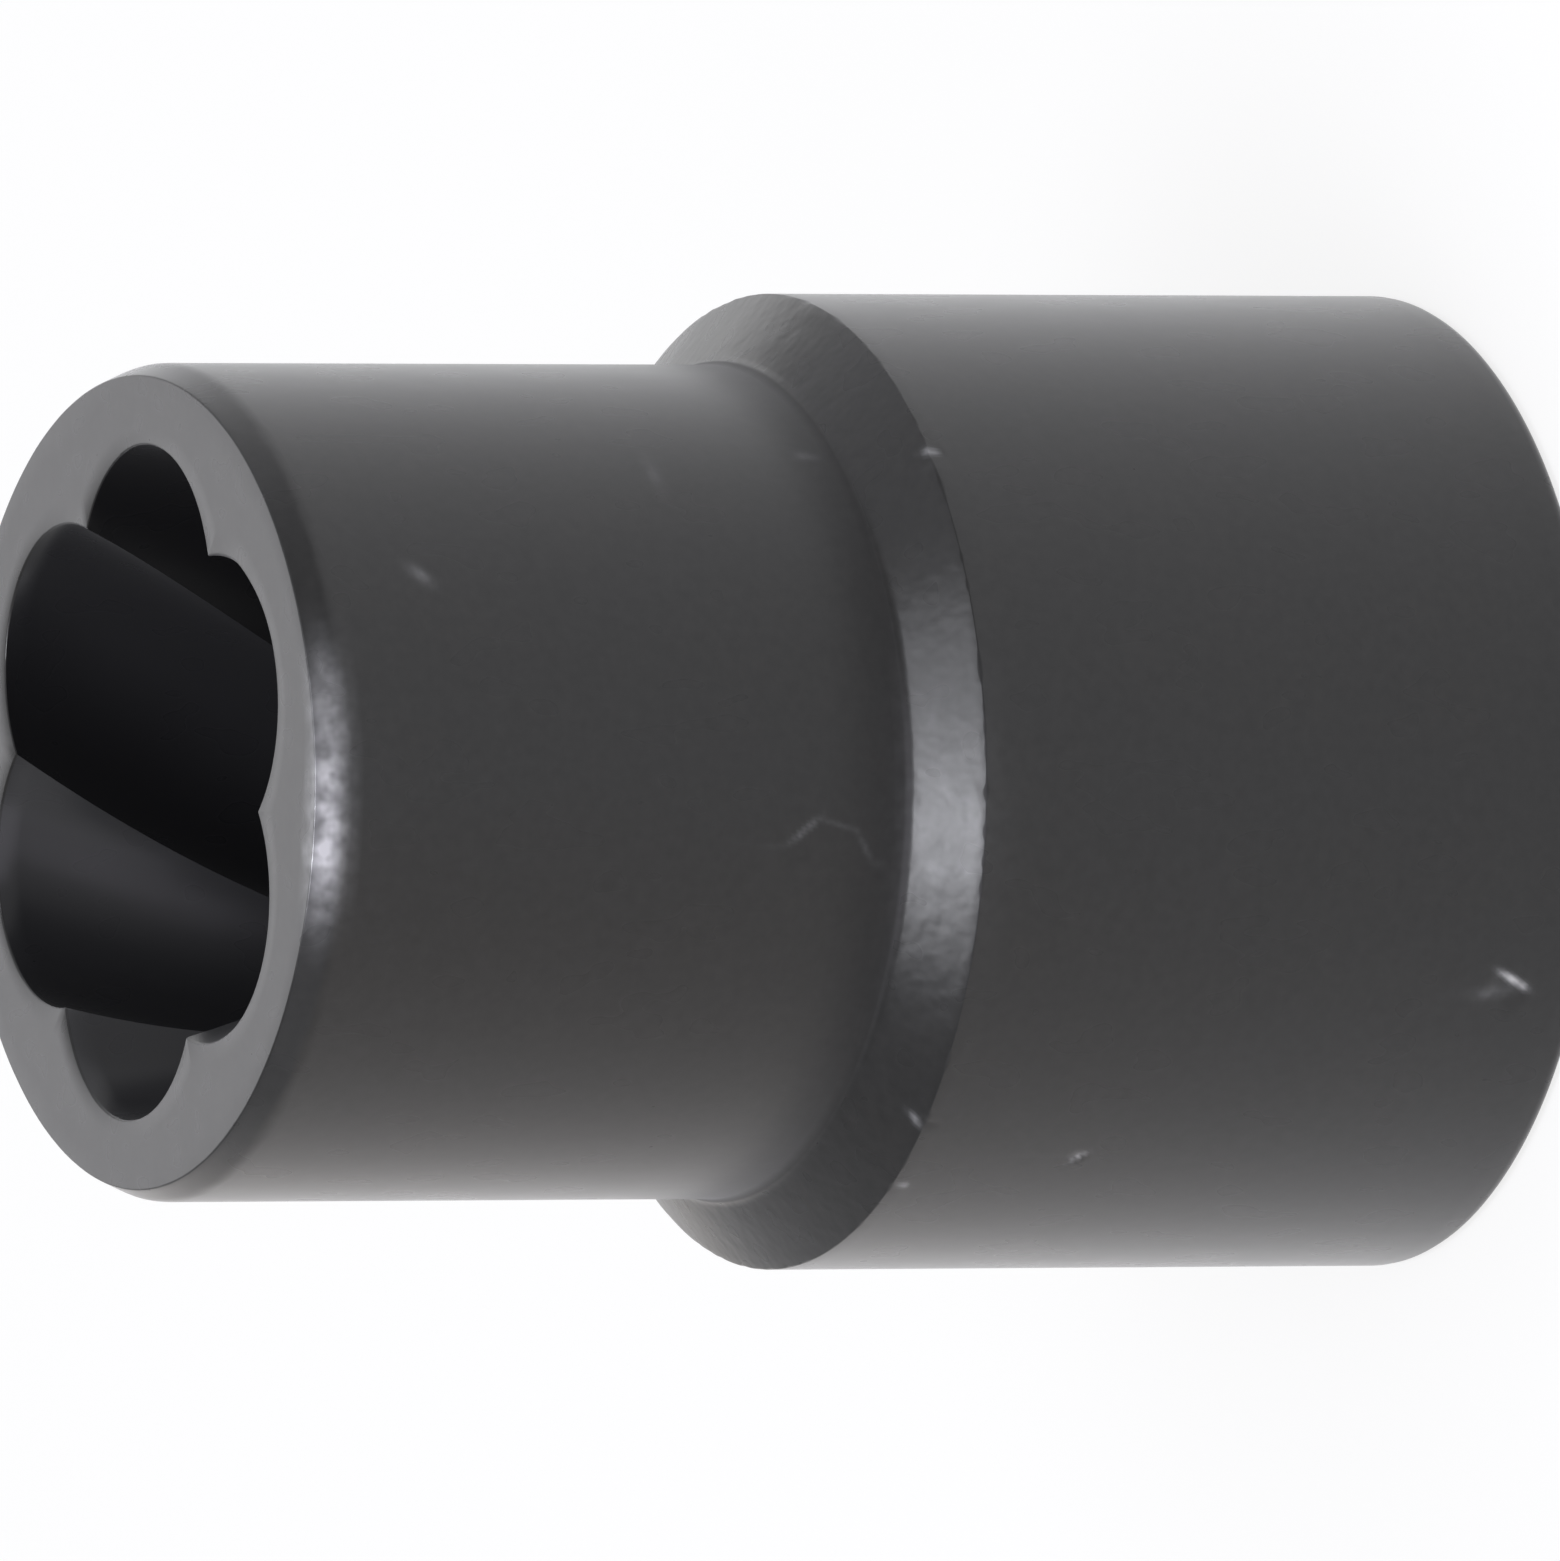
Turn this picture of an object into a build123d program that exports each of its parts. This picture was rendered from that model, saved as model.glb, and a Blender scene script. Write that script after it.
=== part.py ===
from build123d import *
import os
from math import ceil, cos, pi, radians, sin, sqrt, tan

# A twist-socket extractor for rounded bolt heads: one piece of forged and turned steel, with a
# spiral-fluted mouth in its nose, a square drive in its tail and a drilled passage between them.
# Sizes are in millimetres. The drive face lies on z = 0 and the nose points up along +Z.

# Turned outside
overall_length = 34.2
body_diameter = 24.0
nose_diameter = 20.5
nose_length = 17.2  # from the nose face down to the edge where the cone meets the body
cone_slope = 52.0  # degrees between the cone and the axis
neck_fillet = 0.6  # inside corner between the nose and the cone
nose_chamfer_height = 0.7
nose_chamfer_width = 0.3
drive_edge_chamfer = 0.4

# Spiral mouth, whose flutes meet in sharp ridges that bite into the bolt head
flute_count = 6
flute_tip_radius = 8.28  # from the axis to the bottom of a flute, at the nose face
flute_arc_radius = 3.62  # of the flute's own hollow, at the nose face
flute_start_angle = 54.0  # degrees from +X to the middle of the first flute, at the nose face
spiral_depth = 13.0
spiral_twist = 5.3  # degrees per millimetre of depth, which makes a left-hand helix
spiral_taper = 7.0  # degrees between the bottom of a flute and the axis
section_spacing = 1.0  # of depth, at most, between two sections of the loft

# Drilled passage between the two sockets
passage_diameter = 10.4

# Square socket for a half-inch drive tang
tang_size = 12.7
tang_clearance = 0.1
drive_depth = 15.0
drive_corner_radius = 0.8
lead_in_diameter = 15.8  # where the lead-in cone meets the drive face
lead_in_angle = 90.0  # degrees, across the whole cone
detent_height = 8.0  # from the drive face to the middle of a detent
detent_radius = 3.5  # of the ball that pressed the detent
detent_sink = 1.0  # how deep a detent goes into its flat

body_radius = body_diameter / 2
nose_radius = nose_diameter / 2
drive_size = tang_size + tang_clearance
shoulder_height = overall_length - nose_length
neck_height = shoulder_height + (body_radius - nose_radius) / tan(radians(cone_slope))

# Outline of the mouth at the nose face: an arc for each flute, from ridge to ridge
half_flute = pi / flute_count
arc_centre = flute_tip_radius - flute_arc_radius
ridge_radius = arc_centre * cos(half_flute) + sqrt(
    flute_arc_radius**2 - (arc_centre * sin(half_flute)) ** 2
)


def around_axis(radius, angle):
    return (radius * cos(angle), radius * sin(angle))


# The hollow of the mouth: a loft through that outline, turned and narrowed with depth. Its sections
# stand so close that a straight run between two of them leaves the helix by under 0.01 mm.
section_count = 1 + ceil(spiral_depth / section_spacing)
with BuildPart() as spiral_hollow:
    for section in range(section_count):
        depth = spiral_depth * section / (section_count - 1)
        narrowing = 1 - depth * tan(radians(spiral_taper)) / flute_tip_radius
        turn = radians(flute_start_angle + depth * spiral_twist)
        with BuildSketch(Plane.XY.offset(overall_length - depth)):
            with BuildLine():
                for flute in range(flute_count):
                    middle = turn + 2 * half_flute * flute
                    ThreePointArc(
                        around_axis(ridge_radius * narrowing, middle - half_flute),
                        around_axis(flute_tip_radius * narrowing, middle),
                        around_axis(ridge_radius * narrowing, middle + half_flute),
                    )
            make_face()
    loft(ruled=True)

with BuildPart() as extractor_socket:
    # Outside: half of the lengthwise section, turned about the axis
    with BuildSketch(Plane.XZ) as half_section:
        with BuildLine():
            Polyline(
                (0, 0),
                (body_radius, 0),
                (body_radius, shoulder_height),
                (nose_radius, neck_height),
                (nose_radius, overall_length - nose_chamfer_height),
                (nose_radius - nose_chamfer_width, overall_length),
                (0, overall_length),
                close=True,
            )
        make_face()
        drive_corner = half_section.vertices().sort_by_distance((body_radius, 0))[0]
        chamfer(drive_corner, drive_edge_chamfer)
        neck_corner = half_section.vertices().sort_by_distance((nose_radius, neck_height))[0]
        fillet(neck_corner, neck_fillet)
    revolve(axis=Axis.Z)

    # Passage from end to end, widened at the drive face by the lead-in cone
    with Locations(Plane.XY.rotated((180, 0, 0))):
        CounterSinkHole(passage_diameter / 2, lead_in_diameter / 2, overall_length, lead_in_angle)

    # Square drive, with a ball detent in the middle of each flat
    with BuildSketch(Plane.XY):
        RectangleRounded(drive_size, drive_size, drive_corner_radius)
    extrude(amount=drive_depth, mode=Mode.SUBTRACT)
    with Locations((0, 0, detent_height)):
        with PolarLocations(drive_size / 2 + detent_sink - detent_radius, 4):
            Sphere(detent_radius, rotation=(0, 90, 0), mode=Mode.SUBTRACT)

    # Spiral mouth
    add(spiral_hollow.part, mode=Mode.SUBTRACT)
extractor_socket.part.label = "extractor_socket"

os.makedirs("parts", exist_ok=True)
export_step(extractor_socket.part, "parts/extractor_socket.step")
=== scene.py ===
from collections import namedtuple
from math import ceil, cos, pi, radians, sin, tan

import bmesh
import bpy
import numpy as np
from mathutils import Matrix, Vector, noise


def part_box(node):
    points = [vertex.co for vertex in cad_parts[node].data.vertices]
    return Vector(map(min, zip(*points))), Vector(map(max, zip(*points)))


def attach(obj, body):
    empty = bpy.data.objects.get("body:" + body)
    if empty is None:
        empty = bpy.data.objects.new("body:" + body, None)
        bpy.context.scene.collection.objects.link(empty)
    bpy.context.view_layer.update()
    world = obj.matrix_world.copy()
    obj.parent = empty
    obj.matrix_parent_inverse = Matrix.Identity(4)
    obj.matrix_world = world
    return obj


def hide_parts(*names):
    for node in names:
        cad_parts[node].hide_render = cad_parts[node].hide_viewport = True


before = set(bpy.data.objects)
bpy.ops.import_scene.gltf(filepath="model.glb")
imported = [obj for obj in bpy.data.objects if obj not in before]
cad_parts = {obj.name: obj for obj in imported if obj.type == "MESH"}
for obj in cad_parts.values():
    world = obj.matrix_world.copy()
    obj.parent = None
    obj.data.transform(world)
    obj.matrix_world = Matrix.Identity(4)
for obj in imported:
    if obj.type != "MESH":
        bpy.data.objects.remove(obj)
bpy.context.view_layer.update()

# A twist-socket extractor in black phosphated steel: one closed mesh of rings about its axis, from the
# drive face up the outside, over the nose, down the spiral mouth and out again through the square drive.
# The socket's sizes are in millimetres and its angles in degrees, where nothing else is said. Heights are
# above the drive face, and an azimuth is counted from +X towards +Y. MM turns a size into the scene's
# metres.
MM = 0.001
NODE = "extractor_socket"
_, node_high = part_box(NODE)

# Outside
LENGTH = node_high.z / MM
BODY_RADIUS = node_high.x / MM
NOSE_RADIUS = 10.25
NOSE_LENGTH = 17.2  # from the nose face down to the shoulder, where the cone meets the body
CONE_SLOPE = 52.0  # between the cone and the axis
NECK_FILLET = 0.6
CHAMFER_HEIGHT = 0.7
CHAMFER_WIDTH = 0.3
DRIVE_EDGE_ROUND = 0.36
SHOULDER_HEIGHT = LENGTH - NOSE_LENGTH
NECK_HEIGHT = SHOULDER_HEIGHT + (BODY_RADIUS - NOSE_RADIUS) / tan(radians(CONE_SLOPE))

# Edges whose rounding swings from place to place, by noise that is taken at that height and changes over
# patches of that size
UnevenEdge = namedtuple("UnevenEdge", "rounding swing height patch seed")
SHOULDER_EDGE = UnevenEdge(rounding=0.05, swing=0.3, height=17, patch=0.5, seed=11)
CHAMFER_FOOT = UnevenEdge(rounding=0.9, swing=0.3, height=33, patch=0.9, seed=13)
CHAMFER_TOP = UnevenEdge(rounding=0.06, swing=0.02, height=34, patch=0.9, seed=17)

# Spiral mouth
FLUTES = 6
FLUTE_TIP = 8.28  # from the axis to the bottom of a flute, at the nose face
FLUTE_ARC = 3.62  # radius of a flute's own hollow, at the nose face
FLUTE_START = 54.0  # azimuth of the middle of the first flute, at the nose face
SPIRAL_DEPTH = 13.0
SPIRAL_TWIST = 5.3  # per millimetre of depth
SPIRAL_TAPER = 7.0  # between the bottom of a flute and the axis
MOUTH_ROUND = 0.05
RIM_BREAK = 0.16  # extra rounding of the mouth's edge beside one ridge, where it is broken
RIM_BREAK_AZIMUTH = -44.0
RIM_BREAK_SPAN = 6.0
HALF_FLUTE = pi / FLUTES  # in radians
ARC_CENTRE = FLUTE_TIP - FLUTE_ARC
SPIRAL_FLOOR = LENGTH - SPIRAL_DEPTH

# Passage and square drive
PASSAGE_RADIUS = 5.2
PASSAGE_BREAK = 0.15  # chamfer at both of its ends
DRIVE_HALF = 6.4  # half of the square's width
DRIVE_DEPTH = 15.0
DRIVE_CORNER = 0.8
LEAD_IN_RADIUS = 7.9
DETENT_HEIGHT = 8.0
DETENT_RADIUS = 3.5
DETENT_SINK = 1.0  # how deep a detent goes into its flat
DETENT_CENTRE = DRIVE_HALF + DETENT_SINK - DETENT_RADIUS

# Mesh: how many places each sixth of a turn gets, from ridge to ridge. The camera faces the fourth and
# the fifth of them.
SIXTHS = (34, 34, 60, 132, 132, 60)
AZIMUTH = np.concatenate([
    radians(FLUTE_START) - HALF_FLUTE + 2 * HALF_FLUTE * (sixth + np.arange(places) / places)
    for sixth, places in enumerate(SIXTHS)
])  # of each place, in radians
AROUND = len(AZIMUTH)
FLUTE_ANGLE = AZIMUTH - radians(FLUTE_START)  # of each place, from the middle of the first flute
LONG_STEP = 2.2  # between the rings of a plain wall
FINE_STEP = 0.13  # between its rings where a gouge or a rub lies
SHOULDER_ROOM = 0.2  # height that the body's wall leaves to the rounding of the shoulder
FOOT_ROOM = 0.35  # height that the nose's wall leaves to the rounding of the chamfer's foot
CONE_MARGIN = 0.01  # by which a ring may miss the cone and still count as on it
RIM_SHARES = (0.35, 0.7)  # of the quarter turn over the mouth's edge, where its rings lie
MOUTH_RINGS = 27
PASSAGE_RINGS = 11
# Heights of the drive's rings, close together over the detents and over the lead-in cone
DRIVE_RINGS = (13, *np.linspace(10.8, 5.1, 20), 3.6, *np.linspace(2.0, 0.25, 8))
SMOOTH_BELOW = 32.0  # an edge that turns by less is shaded smooth

# Wear that the photograph shows, and highlight painted as bright steel. The heading of a mark is counted
# from the axis towards growing azimuth.
# A gouge has one steep wall and a floor that rises from the wall's foot towards the heading. Its width
# lies along its heading, and its length across it.
Gouge = namedtuple("Gouge", "height azimuth heading length width depth")
GOUGES = [
    Gouge(2.0, -114.1, -61, 1.15, 0.95, 0.11),
    Gouge(12.33, -140.1, 42, 0.5, 0.25, 0.05),
    Gouge(17.02, -48.4, -140, 0.75, 0.35, 0.06),
    Gouge(17.0, -134.0, -60, 0.4, 0.3, 0.05),
]
GOUGE_WALL = 0.15  # width of the steep wall

# A spot where the coating has worn thin, with its length along its heading, its width across it and how
# worn its middle is, from 0 to 1. On the cone and the nose chamfer the spots are painted highlight instead:
# bright steel laid where the highlight falls.
WearAndHighlightSpot = namedtuple("WearAndHighlightSpot", "height azimuth heading length width strength")
WEAR_AND_HIGHLIGHT_SPOTS = [
    # Beside the gouges of the body
    WearAndHighlightSpot(2.0, -114.1, 29, 0.45, 0.1, 0.9),
    WearAndHighlightSpot(1.7, -114.9, 29, 0.12, 0.10, 0.3),
    WearAndHighlightSpot(2.44, -115.6, -6, 0.7, 0.2, 0.1),
    WearAndHighlightSpot(12.33, -140.1, -48, 0.26, 0.07, 0.6),
    # Along the shoulder
    WearAndHighlightSpot(16.96, -47.8, 50, 0.17, 0.1, 0.45),
    WearAndHighlightSpot(16.65, -145.3, 50, 0.17, 0.1, 0.4),
    WearAndHighlightSpot(17.15, -134.4, 50, 0.16, 0.1, 0.4),
    # Scratches and specks on the nose
    WearAndHighlightSpot(21.05, -96.7, 142, 0.5, 0.09, 0.14),
    WearAndHighlightSpot(20.1, -95.9, 15, 0.55, 0.08, 0.05),
    WearAndHighlightSpot(19.35, -99.2, 59, 0.5, 0.09, 0.05),
    WearAndHighlightSpot(19.2, -39.1, 0, 0.28, 0.18, 0.08),
    WearAndHighlightSpot(23.55, -42.5, 90, 0.7, 0.2, 0.05),
    WearAndHighlightSpot(30.86, -60.6, 45, 0.42, 0.2, 0.14),
    # Painted highlight on the cone: a faint band of bright steel with spots, where the highlight falls
    WearAndHighlightSpot(17.7, -95.0, 90, 4.4, 1.2, 0.04),
    WearAndHighlightSpot(17.72, -101.5, 60, 0.3, 0.22, 0.07),
    WearAndHighlightSpot(17.2, -95.5, 90, 0.35, 0.2, 0.07),
    WearAndHighlightSpot(18.0, -96.3, 90, 0.3, 0.18, 0.05),
    WearAndHighlightSpot(17.5, -92.0, 40, 0.5, 0.2, 0.05),
    WearAndHighlightSpot(17.9, -82.0, 90, 0.3, 0.2, 0.04),
    WearAndHighlightSpot(17.3, -100.8, 90, 0.25, 0.18, 0.05),
    # Painted highlight on the nose chamfer: bright steel laid where the highlight falls
    WearAndHighlightSpot(33.86, -79.5, 90, 1.6, 0.45, 0.32),
    WearAndHighlightSpot(33.86, -92.5, 90, 2.5, 0.45, 0.42),
    WearAndHighlightSpot(33.86, -103.5, 90, 1.3, 0.45, 0.3),
    WearAndHighlightSpot(33.95, -89.4, 90, 0.36, 0.3, 0.55),
    WearAndHighlightSpot(33.87, -94.8, 52, 0.5, 0.26, 0.45),
    WearAndHighlightSpot(33.95, -100.0, 90, 0.36, 0.3, 0.8),
]
# Worn spots and painted highlights fade out alike from their middles
SPOT_FADE = 1.4  # how fast a rub fades out from its middle
THIN_COAT = 0.005  # how worn the whole outside is
# Near the neck's corner the coat is left unworn, which darkens it there as painted shade
NECK_SHELTER_AND_SHADE = 1.6  # distance from the neck's corner over which the coat is hardly worn
TURNED_RELIEF = 0.05  # relief of the turned surfaces as a share of the forged cone's


def polar(radius, angle, height):
    """A ring of points at those radii, angles and heights, any of which may be one number."""
    radius, angle, height = np.broadcast_arrays(radius, angle, height)
    return np.stack([radius * np.cos(angle), radius * np.sin(angle), height], axis=-1)


def uneven(edge):
    """Smooth random numbers from -1 to 1 for that edge, one for each place around."""
    def lump(angle):
        across = (BODY_RADIUS * cos(angle) / edge.patch, BODY_RADIUS * sin(angle) / edge.patch)
        return noise.noise(Vector((*across, edge.height / edge.patch + edge.seed)))

    return np.array([lump(angle) for angle in AZIMUTH])


def corner(before, place, after, rounding, steps):
    """Rounded corner of the outline at every place around: that many steps of an arc whose radius is the
    rounding. Each point is a pair of a radius and a height, and the rounding may differ from place to
    place."""
    before, place, after = (
        np.stack(np.broadcast_arrays(*point, AZIMUTH)[:2], axis=-1) for point in (before, place, after)
    )
    rounding = np.broadcast_to(rounding, AZIMUTH.shape)[:, None]
    towards = [(end - place) / np.linalg.norm(end - place, axis=1)[:, None] for end in (before, after)]
    half = 0.5 * np.arccos(np.sum(towards[0] * towards[1], axis=1))[:, None]
    bisector = towards[0] + towards[1]
    middle = place + bisector / np.linalg.norm(bisector, axis=1)[:, None] * rounding / np.sin(half)
    first, last = (place + way * rounding / np.tan(half) - middle for way in towards)
    sweep = pi - 2 * half
    return [
        middle + (np.sin((1 - share) * sweep) * first + np.sin(share * sweep) * last) / np.sin(sweep)
        for share in np.linspace(0, 1, steps + 1)
    ]


def straight(start, end, steps):
    """Rings between two rings, without the two themselves."""
    return [start + (end - start) * step / steps for step in range(1, steps)]


def wall_heights(low, high):
    """Heights for the rings of a straight wall, close together where a gouge, a worn spot or a painted
    highlight lies on it.
    """
    coarse = np.linspace(low, high, ceil((high - low) / LONG_STEP) + 1)[1:-1]
    fine = np.arange(low + FINE_STEP, high - FINE_STEP / 2, FINE_STEP)

    def marked(height):
        in_gouge = [abs(height - gouge.height) < gouge.length for gouge in GOUGES]
        in_spot = [
            abs(height - spot.height) < 2 * spot.width + abs(spot.length * cos(radians(spot.heading)))
            for spot in WEAR_AND_HIGHLIGHT_SPOTS
        ]
        return any(in_gouge + in_spot)

    plain = [height for height in coarse if not marked(height)]
    return sorted(plain + [height for height in fine if marked(height)])


def outside_rings():
    """Rings of (radius, height) pairs, from the lead-in cone up the outside to the face of the nose."""
    shoulder_round = SHOULDER_EDGE.rounding + SHOULDER_EDGE.swing * np.maximum(uneven(SHOULDER_EDGE), 0)
    foot_round = CHAMFER_FOOT.rounding + CHAMFER_FOOT.swing * uneven(CHAMFER_FOOT)
    top_round = CHAMFER_TOP.rounding + CHAMFER_TOP.swing * uneven(CHAMFER_TOP)
    outline = [
        (LEAD_IN_RADIUS, 0),
        (BODY_RADIUS, 0),
        (BODY_RADIUS, SHOULDER_HEIGHT),
        (NOSE_RADIUS, NECK_HEIGHT),
        (NOSE_RADIUS, LENGTH - CHAMFER_HEIGHT),
        (NOSE_RADIUS - CHAMFER_WIDTH, LENGTH),
        (FLUTE_TIP, LENGTH),
    ]
    # Rounding of each corner and the steps of its arc
    roundings = [
        (DRIVE_EDGE_ROUND, 5), (shoulder_round, 4), (NECK_FILLET, 6), (foot_round, 4), (top_round, 6),
    ]
    drive_edge, shoulder, neck, foot, top = (
        corner(*outline[i:i + 3], rounding, steps) for i, (rounding, steps) in enumerate(roundings)
    )

    def level(radius, height):
        return np.stack([np.full(AROUND, radius), np.full(AROUND, height)], axis=-1)

    def wall(radius, low, high):
        return [level(radius, height) for height in wall_heights(low, high)]

    rings = [level(*outline[0])]
    rings += straight(rings[0], drive_edge[0], steps=5) + drive_edge
    rings += wall(BODY_RADIUS, DRIVE_EDGE_ROUND, SHOULDER_HEIGHT - SHOULDER_ROOM) + shoulder
    rings += straight(shoulder[-1], neck[0], steps=9) + neck
    rings += wall(NOSE_RADIUS, NECK_HEIGHT + NECK_FILLET, LENGTH - CHAMFER_HEIGHT - FOOT_ROOM) + foot
    rings += straight(foot[-1], top[0], steps=4) + top
    return rings


def mark_place(mark, radius, height):
    """How far each point of a ring lies from a mark, along its heading and across it."""
    up = height - mark.height
    turn = (AZIMUTH - radians(mark.azimuth) + pi) % (2 * pi) - pi
    heading = radians(mark.heading)
    around = turn * radius
    return up * cos(heading) + around * sin(heading), around * cos(heading) - up * sin(heading)


def gouged(radius, height):
    """Depth of the gouges at a ring."""
    depth = np.zeros(AROUND)
    for gouge in GOUGES:
        ahead, aside = mark_place(gouge, radius, height)
        wall = np.clip(1 + ahead / GOUGE_WALL, 0, 1)
        floor = np.clip(1 - ahead / gouge.width, 0, 1)
        across = np.clip(1 - (2 * aside / gouge.length) ** 2, 0, 1)
        depth = np.maximum(depth, gouge.depth * np.minimum(wall, floor) * across)
    return depth


def neck_shelter_and_shade(height):
    """How near a ring lies to the neck's corner, from 0 to 1. There the coat is left unworn, which darkens
    it as painted shade, and is made rougher.
    """
    return np.where(height > NECK_HEIGHT, np.exp(-(((height - NECK_HEIGHT) / NECK_SHELTER_AND_SHADE) ** 2)), 0.0)


def wear_and_highlight_at(radius, height):
    """How worn the coating is at a ring, from 0 to 1, counting the highlight that is painted as bright
    steel on the cone and the nose chamfer.
    """
    # The coat is left unworn by the neck's corner: painted shade
    worn = THIN_COAT * (1 - neck_shelter_and_shade(height))
    for spot in WEAR_AND_HIGHLIGHT_SPOTS:
        ahead, aside = mark_place(spot, radius, height)
        off_middle = (ahead / spot.length) ** 2 + (aside / spot.width) ** 2
        worn += spot.strength * np.exp(-SPOT_FADE * off_middle)
    return np.minimum(worn, 1)


def mouth_radius(depth):
    """Distance from the axis to the mouth's wall at each place around, at that depth."""
    side = (FLUTE_ANGLE + HALF_FLUTE) % (2 * HALF_FLUTE) - HALF_FLUTE
    reach = ARC_CENTRE * np.cos(side) + np.sqrt(FLUTE_ARC**2 - (ARC_CENTRE * np.sin(side)) ** 2)
    return reach * (1 - depth * tan(radians(SPIRAL_TAPER)) / FLUTE_TIP)


def rim_rounding():
    """Rounding of the mouth's edge at each place around, larger where the edge is broken."""
    beside = (np.degrees(AZIMUTH) - RIM_BREAK_AZIMUTH + 180) % 360 - 180
    return MOUTH_ROUND + RIM_BREAK * np.exp(-((beside / RIM_BREAK_SPAN) ** 2))


def drive_radius(height):
    """Distance from the axis to the wall of the square drive, its lead-in cone and its detents, at each
    place around."""
    side = (AZIMUTH + pi / 4) % (pi / 2) - pi / 4
    flat = DRIVE_HALF / np.cos(side)
    corner_middle = DRIVE_HALF - DRIVE_CORNER
    across = corner_middle * (np.cos(side) + np.abs(np.sin(side)))
    corner_part = DRIVE_CORNER**2 - 2 * corner_middle**2 + across**2
    rounded = across + np.sqrt(np.maximum(corner_part, 0))
    square = np.where(DRIVE_HALF * np.tan(np.abs(side)) > corner_middle, rounded, flat)
    reach = np.maximum(square, LEAD_IN_RADIUS - height)
    ball_part = DETENT_RADIUS**2 - (height - DETENT_HEIGHT) ** 2 - (DETENT_CENTRE * np.sin(side)) ** 2
    detent = DETENT_CENTRE * np.cos(side) + np.sqrt(np.maximum(ball_part, 0))
    return np.where(ball_part > 0, np.maximum(reach, detent), reach)


def face_rings(outer):
    """Rings of the face of the nose, from its round outline to the mouth's, and over the mouth's edge."""
    mouth, rounding = mouth_radius(0), rim_rounding()
    rim = polar(mouth + rounding, AZIMUTH, LENGTH)
    rings = straight(outer, rim, steps=4) + [rim]
    for share in RIM_SHARES:
        edge = mouth + rounding * (1 - sin(share * pi / 2))
        rings.append(polar(edge, AZIMUTH, LENGTH - rounding * (1 - cos(share * pi / 2))))
    return rings


def mouth_rings():
    """Rings of the spiral wall, which turn with it so that the ridges run along the mesh, and of the
    mouth's floor."""
    rings = []
    for depth in np.linspace(rim_rounding(), SPIRAL_DEPTH, MOUTH_RINGS):
        turned = AZIMUTH + np.radians(SPIRAL_TWIST * depth)
        rings.append(polar(mouth_radius(depth), turned, LENGTH - depth))
    rim = polar(PASSAGE_RADIUS + PASSAGE_BREAK, turned, SPIRAL_FLOOR)
    return rings + straight(rings[-1], rim, steps=3) + [rim]


def passage_rings():
    """Rings of the drilled passage, which turn back from those of the mouth to those of the drive."""
    turned = AZIMUTH + radians(SPIRAL_TWIST * SPIRAL_DEPTH)
    top, bottom = SPIRAL_FLOOR - PASSAGE_BREAK, DRIVE_DEPTH + PASSAGE_BREAK
    return [
        polar(PASSAGE_RADIUS, turned + (AZIMUTH - turned) * share, top + (bottom - top) * share)
        for share in np.linspace(0, 1, PASSAGE_RINGS)
    ]


def drive_rings():
    """Rings of the floor of the square drive and of its wall."""
    rim = polar(PASSAGE_RADIUS + PASSAGE_BREAK, AZIMUTH, DRIVE_DEPTH)
    foot = polar(drive_radius(DRIVE_DEPTH), AZIMUTH, DRIVE_DEPTH)
    wall = [polar(drive_radius(height), AZIMUTH, height) for height in DRIVE_RINGS]
    return [rim] + straight(rim, foot, steps=3) + [foot] + wall


def socket_rings():
    """Every ring of the mesh in order, what the surface is like at each of its points, and how many of
    the rings lie outside the mouth."""
    rings, worn, rough, sheltered = [], [], [], []
    for ring in outside_rings():
        radius, height = ring[:, 0], ring[:, 1]
        on_cone = (height > SHOULDER_HEIGHT - CONE_MARGIN) & (height < NECK_HEIGHT + CONE_MARGIN)
        rings.append(polar(radius - gouged(radius, height), AZIMUTH, height))
        worn.append(wear_and_highlight_at(radius, height))
        rough.append(np.where(on_cone, 1.0, TURNED_RELIEF))
        sheltered.append(neck_shelter_and_shade(height))
    rings += face_rings(rings[-1])
    outside_count = len(rings)
    rings += mouth_rings() + passage_rings() + drive_rings()
    plain = len(rings) - len(worn)
    surface = {
        "worn": worn + [np.zeros(AROUND)] * plain,
        "rough": rough + [np.full(AROUND, TURNED_RELIEF)] * plain,
        "sheltered": sheltered + [np.zeros(AROUND)] * plain,
    }
    return rings, surface, outside_count


def socket_mesh():
    """The closed mesh of the socket, in metres, and the number of the material of each of its faces: 0
    outside, and 1 in the mouth, the passage and the drive."""
    rings, surface, outside_count = socket_rings()
    points = np.concatenate(rings) * MM
    faces = []
    for ring in range(len(rings)):
        here, there = ring * AROUND, (ring + 1) % len(rings) * AROUND
        for i in range(AROUND):
            j = (i + 1) % AROUND
            faces.append((here + i, here + j, there + j, there + i))
    mesh = bpy.data.meshes.new("extractor_body")
    mesh.from_pydata(points.tolist(), [], faces)
    bm = bmesh.new()
    bm.from_mesh(mesh)
    for edge in bm.edges:
        edge.smooth = edge.calc_face_angle(0) < radians(SMOOTH_BELOW)
    for face in bm.faces:
        face.smooth = True
    bm.normal_update()
    bm.to_mesh(mesh)
    bm.free()
    for name, values in surface.items():
        mesh.attributes.new(name, "FLOAT", "POINT").data.foreach_set("value", np.concatenate(values))
    inside = np.arange(len(faces)) >= outside_count * AROUND
    return mesh, inside.astype(np.int32)


# Sockets of a Mix node that mixes colours
FIRST_COLOUR, SECOND_COLOUR, MIXED_COLOUR = 6, 7, 2
# The range in which most of a noise lies, and how rough the noise is
NOISE_LOW, NOISE_HIGH, NOISE_ROUGHNESS = 0.3, 0.7, 0.55


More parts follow.
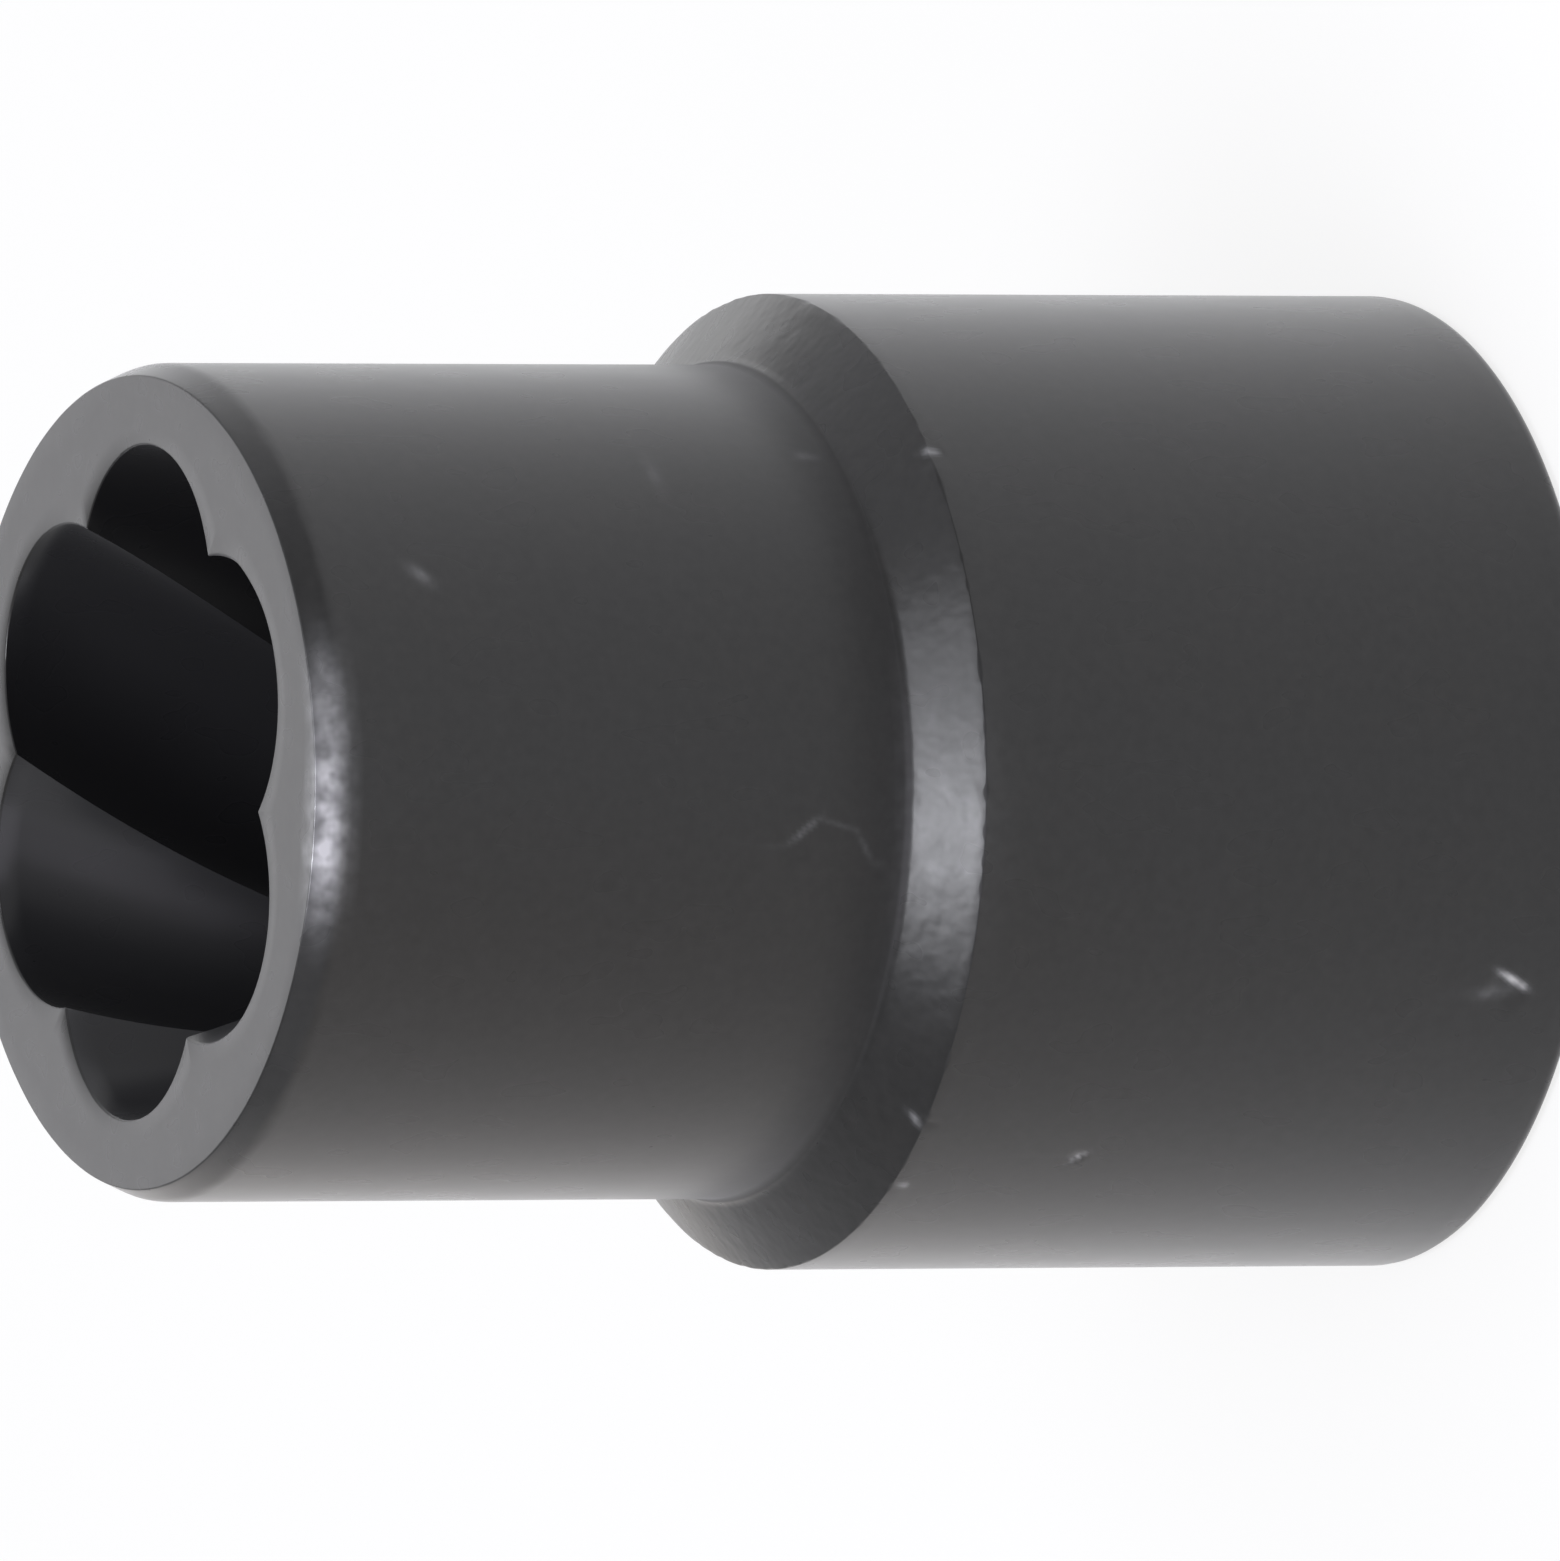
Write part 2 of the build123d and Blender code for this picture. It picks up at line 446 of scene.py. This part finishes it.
def feed(tree, socket, source):
    """Give a socket its source: a number, a colour or the output of another node."""
    if isinstance(source, bpy.types.NodeSocket):
        tree.links.new(source, socket)
    else:
        socket.default_value = source


def node(tree, kind, **sources):
    """A new node whose inputs have those sources; a key that starts with an underscore is a property."""
    made = tree.nodes.new(kind)
    for key, source in sources.items():
        if key.startswith("_"):
            setattr(made, key[1:], source)
        else:
            feed(tree, made.inputs[key.replace("_", " ")], source)
    return made


def calculate(tree, operation, *terms):
    """The result of a calculation with those terms."""
    made = node(tree, "ShaderNodeMath", _operation=operation)
    for socket, term in zip(made.inputs, terms):
        feed(tree, socket, term)
    return made.outputs[0]


def remap(tree, value, start, end, low=0.0, high=1.0, clamp=True):
    """The value, brought from the range between start and end to the one between low and high."""
    made = node(
        tree, "ShaderNodeMapRange", _clamp=clamp,
        Value=value, From_Min=start, From_Max=end, To_Min=low, To_Max=high,
    )
    return made.outputs["Result"]


def blend(tree, factor, first, second):
    """A colour that goes from the first to the second as the factor goes from 0 to 1."""
    made = node(tree, "ShaderNodeMix", _data_type="RGBA", Factor=factor)
    for socket, colour in ((FIRST_COLOUR, first), (SECOND_COLOUR, second)):
        feed(tree, made.inputs[socket], (*colour, 1) if isinstance(colour, tuple) else colour)
    return made.outputs[MIXED_COLOUR]


def shader_blend(tree, factor, first, second):
    """A shader that goes from the first to the second as the factor goes from 0 to 1."""
    made = tree.nodes.new("ShaderNodeMixShader")
    for socket, source in zip(made.inputs, (factor, first, second)):
        feed(tree, socket, source)
    return made.outputs[0]


def grain(tree, places, size, stretch=1.0, detail=1.0):
    """Noise from 0 to 1 whose lumps have that size in millimetres, drawn out along the axis."""
    scale = 1 / (size * MM)
    lie = node(tree, "ShaderNodeMapping", Vector=places, Scale=(scale, scale, scale / stretch))
    lumps = node(
        tree, "ShaderNodeTexNoise",
        Vector=lie.outputs["Vector"], Scale=1.0, Detail=detail, Roughness=NOISE_ROUGHNESS,
    )
    return lumps.outputs["Fac"]


def spread(tree, lumps, low, high):
    """Noise that lies mostly between those two numbers."""
    return remap(tree, lumps, NOISE_LOW, NOISE_HIGH, low, high, clamp=False)


def attribute(tree, name):
    """A number that the mesh has at each of its points."""
    return node(tree, "ShaderNodeAttribute", _attribute_name=name).outputs["Fac"]


BLACK_COAT = (0.0062, 0.0064, 0.0074)
BROWN_COAT = (0.0090, 0.0078, 0.0068)
# Coat of the mouth, the passage and the drive, lighter than the outside's: a painted fill light in those
# hollows
LIGHTENED_DEEP_COAT = (0.019, 0.019, 0.0205)
# Bright steel of the wear, also the colour of the painted highlight on the cone and the nose chamfer
BARE_STEEL_AND_HIGHLIGHT = (0.62, 0.62, 0.64)
SHEEN_ROUGHNESS = 0.5
COAT_ROUGHNESS = (0.27, 0.29)
SHELTERED_ROUGHNESS = 0.4  # added in the corner of the neck
CLOUD_SIZE = 2.2  # of the brown clouds in the coat
GRAIN_SIZE = 0.3  # of its light and dark grain
GLOSS_SIZE = 0.9  # of its patches of gloss
# The mottles break up the wear and the painted highlight alike
MOTTLE_SIZE = 0.34  # of the mottles of worn coat
WAVE_SIZE = 0.45  # of the relief of the forged cone
WAVE_HEIGHT = 0.012


def phosphated_steel(name, gloss, dustiness, blackest, brownest, evenness):
    """Black phosphate on steel: a matt coat with a fine grain, clouded and a little brown in places, and
    worn through to bright steel where the mesh says so; on the cone and the nose chamfer that bright steel
    is painted highlight."""
    material = bpy.data.materials.new(name)
    material.use_nodes = True
    tree = material.node_tree
    shader = tree.nodes["Principled BSDF"]
    places = tree.nodes.new("ShaderNodeTexCoord").outputs["Object"]
    shader.inputs["Specular IOR Level"].default_value = gloss
    shader.inputs["Sheen Weight"].default_value = dustiness
    shader.inputs["Sheen Roughness"].default_value = SHEEN_ROUGHNESS

    clouded = blend(tree, grain(tree, places, CLOUD_SIZE, stretch=2.5), blackest, brownest)
    pits = tuple(share * evenness for share in blackest)
    light_and_dark = spread(tree, grain(tree, places, GRAIN_SIZE, detail=2.0), low=0.1, high=0.9)
    coat = blend(tree, light_and_dark, pits, clouded)
    mottles = spread(tree, grain(tree, places, MOTTLE_SIZE), low=0.7, high=1.3)
    # Wear, and the highlight painted as bright steel on the cone and the nose chamfer
    worn = calculate(tree, "MULTIPLY", attribute(tree, "worn"), mottles)
    feed(tree, shader.inputs["Base Color"], blend(tree, worn, coat, BARE_STEEL_AND_HIGHLIGHT))
    feed(tree, shader.inputs["Metallic"], worn)

    patches = spread(tree, grain(tree, places, GLOSS_SIZE, stretch=2.0), *COAT_ROUGHNESS)
    matt = calculate(tree, "MULTIPLY_ADD", attribute(tree, "sheltered"), SHELTERED_ROUGHNESS, patches)
    feed(tree, shader.inputs["Roughness"], matt)
    waves = node(
        tree, "ShaderNodeBump", Strength=attribute(tree, "rough"), Distance=WAVE_HEIGHT * MM,
        Height=grain(tree, places, WAVE_SIZE),
    )
    feed(tree, shader.inputs["Normal"], waves.outputs["Normal"])
    return material


def ray_switch(tree):
    """1 for rays that come from the camera, a reflection or a transmission, and 0 for diffuse ones."""
    path = tree.nodes.new("ShaderNodeLightPath")
    seen = calculate(tree, "MAXIMUM", path.outputs["Is Camera Ray"], path.outputs["Is Glossy Ray"])
    return calculate(tree, "MAXIMUM", seen, path.outputs["Is Transmission Ray"])


# Surroundings, whose sizes are in metres
WHITE = (1, 1, 1)
FLOOR_SIZE = 3.0
FLOOR_GAP = 0.02 * MM  # below the drive face
FLOOR_GLOW = 0.82  # share of its white that is a glow, for the camera and in reflections
WARM_END = (0.85, 0.79, 0.73)
WARM_REACH = 0.05  # from the axis towards -X, to where the reflected floor is as warm as that
WORLD_LIGHT = 0.25  # brightness that diffuse rays find
HORIZON_TOP = 0.02  # sine of the elevation at which the white backdrop ends
HORIZON_FADE = 0.08  # by which it fades out below and above that
SKY = 0.44  # brightness above the backdrop


def floor_material():
    """Matt white that also glows for the camera and in reflections, where it turns dimmer and warmer
    towards -X."""
    material = bpy.data.materials.new("pale_floor")
    material.use_nodes = True
    tree = material.node_tree
    tree.nodes.clear()
    places = tree.nodes.new("ShaderNodeTexCoord").outputs["Object"]
    across = node(tree, "ShaderNodeSeparateXYZ", Vector=places)
    reflected = blend(tree, remap(tree, across.outputs["X"], -WARM_REACH, 0.0), WARM_END, WHITE)
    from_camera = tree.nodes.new("ShaderNodeLightPath").outputs["Is Camera Ray"]
    glow = node(tree, "ShaderNodeEmission", Color=blend(tree, from_camera, reflected, WHITE), Strength=1.0)
    matt = node(tree, "ShaderNodeBsdfDiffuse", Color=(*WHITE, 1))
    share = calculate(tree, "MULTIPLY", ray_switch(tree), FLOOR_GLOW)
    out = tree.nodes.new("ShaderNodeOutputMaterial")
    feed(tree, out.inputs["Surface"], shader_blend(tree, share, matt.outputs[0], glow.outputs[0]))
    return material


def make_floor():
    """White table under the object, which keeps its shadow."""
    mesh = bpy.data.meshes.new("floor")
    half = FLOOR_SIZE / 2
    corners = [(-half, -half, 0), (half, -half, 0), (half, half, 0), (-half, half, 0)]
    mesh.from_pydata(corners, [], [(0, 1, 2, 3)])
    mesh.materials.append(floor_material())
    floor = bpy.data.objects.new("floor", mesh)
    floor.location.z = -FLOOR_GAP
    bpy.context.scene.collection.objects.link(floor)


def make_world():
    """Dim room with a white backdrop all around, which ends a little above the horizon."""
    world = bpy.data.worlds.new("studio")
    world.use_nodes = True
    bpy.context.scene.world = world
    tree = world.node_tree
    tree.nodes.clear()
    direction = tree.nodes.new("ShaderNodeTexCoord").outputs["Generated"]
    height = node(tree, "ShaderNodeSeparateXYZ", Vector=direction).outputs["Z"]
    bright = remap(tree, height, HORIZON_TOP - HORIZON_FADE, HORIZON_TOP + HORIZON_FADE, 1.0, SKY)
    room = node(tree, "ShaderNodeBackground", Color=(*WHITE, 1), Strength=bright)
    dim = node(tree, "ShaderNodeBackground", Color=(*WHITE, 1), Strength=WORLD_LIGHT)
    out = tree.nodes.new("ShaderNodeOutputWorld")
    surroundings = shader_blend(tree, ray_switch(tree), dim.outputs[0], room.outputs[0])
    feed(tree, out.inputs["Surface"], surroundings)


AIM = Vector((0, 0, LENGTH / 2 * MM))
LIGHT_DISTANCE = 0.5  # metres
COOL = (0.93, 0.94, 1.0)
LILAC = (0.97, 0.965, 1.0)
VIOLET = (0.9, 0.87, 1.0)
# Name, azimuth, elevation, width and height in metres, brightness and colour
LIGHTS = [
    ("top", -14, 77, 0.16, 0.10, 8.7, COOL),
    ("top_minus", -50, 75, 0.20, 0.14, 8.6, COOL),
    ("top_plus", 50, 72, 0.20, 0.14, 4.7, COOL),
    ("side_high", -14, 40, 0.50, 0.30, 0.95, VIOLET),
    ("front", -18, 18, 0.22, 0.12, 0.5, VIOLET),
    ("back", 180, 27, 0.25, 0.20, 1.6, LILAC),
    ("side_plus", 108, 38, 0.50, 0.50, 0.4, COOL),
    ("back_plus", 150, 8, 0.30, 0.14, 1.2, WHITE),
    ("side_minus", -60, 20, 0.40, 0.30, 0.4, COOL),
]


def soft_light(name, azimuth, elevation, width, height, brightness, colour):
    """A soft rectangular light aimed at the object. Its azimuth is counted from -Y, where the camera is,
    towards +X, and a brightness of 1 is as bright as a white background."""
    light = bpy.data.lights.new(name, "AREA")
    light.shape = "RECTANGLE"
    light.size, light.size_y = width, height
    light.energy = brightness * pi * width * height
    light.color = colour
    lamp = bpy.data.objects.new(name, light)
    a, e = radians(azimuth), radians(elevation)
    back = Vector((sin(a) * cos(e), -cos(a) * cos(e), sin(e)))
    lamp.location = AIM + back * LIGHT_DISTANCE
    lamp.rotation_mode = "QUATERNION"
    lamp.rotation_quaternion = back.to_track_quat("Z", "Y")
    lamp.visible_camera = False
    bpy.context.scene.collection.objects.link(lamp)


# Camera, at the photograph's viewing angle. Its frame is counted in pixels of the photograph.
SENSOR = 36.0
FRAME_LONG_SIDE = 1561
VIEW_TILT = 1.10624  # radians between the socket's axis and the line of sight
VIEW_ROLL = -0.00135  # radians
PIXEL = 0.02459  # size of a pixel at the target
FOCAL_PIXELS = 45000
TARGET_BELOW_NOSE = 17.55
TARGET_RIGHT_OF_MIDDLE = -1.3  # pixels
TARGET_BELOW_MIDDLE = 1.2  # pixels
CLIP_START = 0.05  # metres
CLIP_END = 10.0  # metres


def make_camera():
    """The photograph's camera, which looks down on the nose from -Y with +X up."""
    camera = bpy.data.objects.new("camera", bpy.data.cameras.new("camera"))
    bpy.context.scene.collection.objects.link(camera)
    camera.data.sensor_width = SENSOR
    camera.data.lens = SENSOR * FOCAL_PIXELS / FRAME_LONG_SIDE
    camera.data.clip_start, camera.data.clip_end = CLIP_START, CLIP_END
    back = Vector((0, -sin(VIEW_TILT), cos(VIEW_TILT)))
    up = Vector((1, 0, 0))
    right = up.cross(back)
    turn = Matrix((right, up, back)).transposed()
    camera.rotation_mode = "QUATERNION"
    camera.rotation_quaternion = (turn @ Matrix.Rotation(VIEW_ROLL, 3, "Z")).to_quaternion()
    distance = FOCAL_PIXELS * PIXEL * MM
    target = Vector((0, 0, (LENGTH - TARGET_BELOW_NOSE) * MM))
    beside = (up * TARGET_BELOW_MIDDLE - right * TARGET_RIGHT_OF_MIDDLE) * PIXEL * MM
    camera.location = target + back * distance + beside
    bpy.context.scene.camera = camera


bpy.context.scene.view_settings.view_transform = "Standard"
mesh, material_numbers = socket_mesh()
socket = bpy.data.objects.new("extractor_body", mesh)
bpy.context.scene.collection.objects.link(socket)
socket.data.materials.append(phosphated_steel(
    "phosphated_steel", gloss=0.42, dustiness=0.33, blackest=BLACK_COAT, brownest=BROWN_COAT, evenness=0.15,
))
# The hollows get an oiled coat painted lighter than the outside's, as fill light
socket.data.materials.append(phosphated_steel(
    "oiled_steel_lightened", gloss=0.5, dustiness=0.04, blackest=LIGHTENED_DEEP_COAT, brownest=LIGHTENED_DEEP_COAT, evenness=1.0,
))
socket.data.polygons.foreach_set("material_index", material_numbers)
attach(socket, "root")
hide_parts(NODE)
make_floor()
make_world()
for settings in LIGHTS:
    soft_light(*settings)
make_camera()
